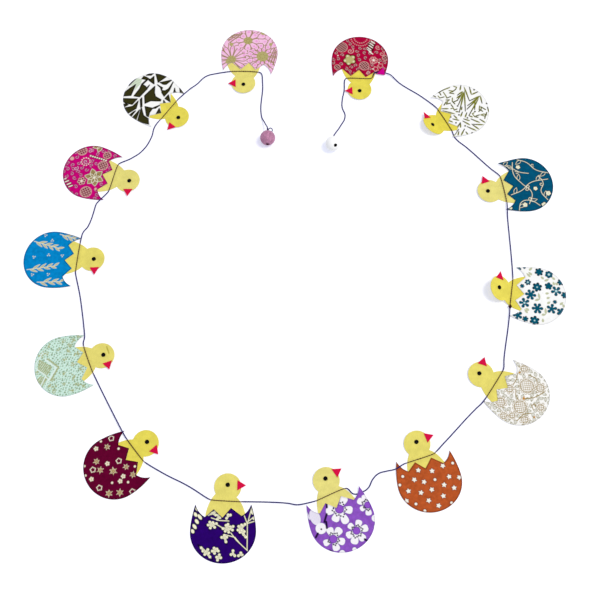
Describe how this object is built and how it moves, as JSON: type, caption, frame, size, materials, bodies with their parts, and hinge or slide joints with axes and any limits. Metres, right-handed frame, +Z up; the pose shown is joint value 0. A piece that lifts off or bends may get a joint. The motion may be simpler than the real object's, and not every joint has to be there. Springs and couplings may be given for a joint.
{
  "type": "paper chick garland",
  "caption": "Garland of paper chicks hatching from patterned paper eggshells, sewn on one thread with a round bead on each end, laid in a loose ring.",
  "frame": {"origin": "middle of the ring's box, on the surface that the garland lies on", "axes": "+Z up off the surface, +Y towards the open end of the ring where the two beads lie, +X to the right seen from above"},
  "size_m": [0.4153, 0.4359, 0.012],
  "materials": {
    "paper_yellow": "matt dyed card",
    "paper_red": "matt dyed card",
    "paper_black": "matt dyed card",
    "print_pink": "matt printed paper, pink with olive gold flowers",
    "print_leaf": "matt printed paper, dark olive with white leaves",
    "print_magenta": "matt printed paper, magenta with gold flowers",
    "print_blue": "matt printed paper, blue with beige sprigs",
    "print_mint": "matt printed paper, mint with gold specks",
    "print_maroon": "matt printed paper, maroon with gold stars",
    "print_purple": "matt printed paper, deep purple with cream sprigs",
    "print_lavender": "matt printed paper, lavender with white blossom",
    "print_orange": "matt printed paper, orange with cream stars",
    "print_gold": "matt printed paper, white with gold flowers",
    "print_flower": "matt printed paper, white with teal flowers",
    "print_teal": "matt printed paper, teal with cream vines",
    "print_olive": "matt printed paper, white with olive sprays",
    "print_red": "matt printed paper, red with pale gold flowers, magenta reverse",
    "sewing_thread": "twisted sewing thread",
    "bead_pink": "matt pink wash, fine grain",
    "bead_white": "glossy white"
  },
  "bodies": {
    "root": {"shell_pink": "print_pink", "chick_pink": "paper_yellow", "beak_pink": "paper_red", "eye_pink": "paper_black", "shell_leaf": "print_leaf", "chick_leaf": "paper_yellow", "beak_leaf": "paper_red", "eye_leaf": "paper_black", "shell_magenta": "print_magenta", "chick_magenta": "paper_yellow", "beak_magenta": "paper_red", "eye_magenta": "paper_black", "shell_blue": "print_blue", "chick_blue": "paper_yellow", "beak_blue": "paper_red", "eye_blue": "paper_black", "shell_mint": "print_mint", "chick_mint": "paper_yellow", "beak_mint": "paper_red", "eye_mint": "paper_black", "shell_maroon": "print_maroon", "chick_maroon": "paper_yellow", "beak_maroon": "paper_red", "eye_maroon": "paper_black", "shell_purple": "print_purple", "chick_purple": "paper_yellow", "beak_purple": "paper_red", "eye_purple": "paper_black", "shell_lavender": "print_lavender", "chick_lavender": "paper_yellow", "beak_lavender": "paper_red", "eye_lavender": "paper_black", "shell_orange": "print_orange", "chick_orange": "paper_yellow", "beak_orange": "paper_red", "eye_orange": "paper_black", "shell_gold": "print_gold", "chick_gold": "paper_yellow", "beak_gold": "paper_red", "eye_gold": "paper_black", "shell_flower": "print_flower", "chick_flower": "paper_yellow", "beak_flower": "paper_red", "eye_flower": "paper_black", "shell_teal": "print_teal", "chick_teal": "paper_yellow", "beak_teal": "paper_red", "eye_teal": "paper_black", "shell_olive": "print_olive", "chick_olive": "paper_yellow", "beak_olive": "paper_red", "eye_olive": "paper_black", "shell_red": "print_red", "chick_red": "paper_yellow", "beak_red": "paper_red", "eye_red": "paper_black", "thread": "sewing_thread", "bead_pink": "bead_pink", "bead_white": "bead_white"}
  },
  "joints": []
}
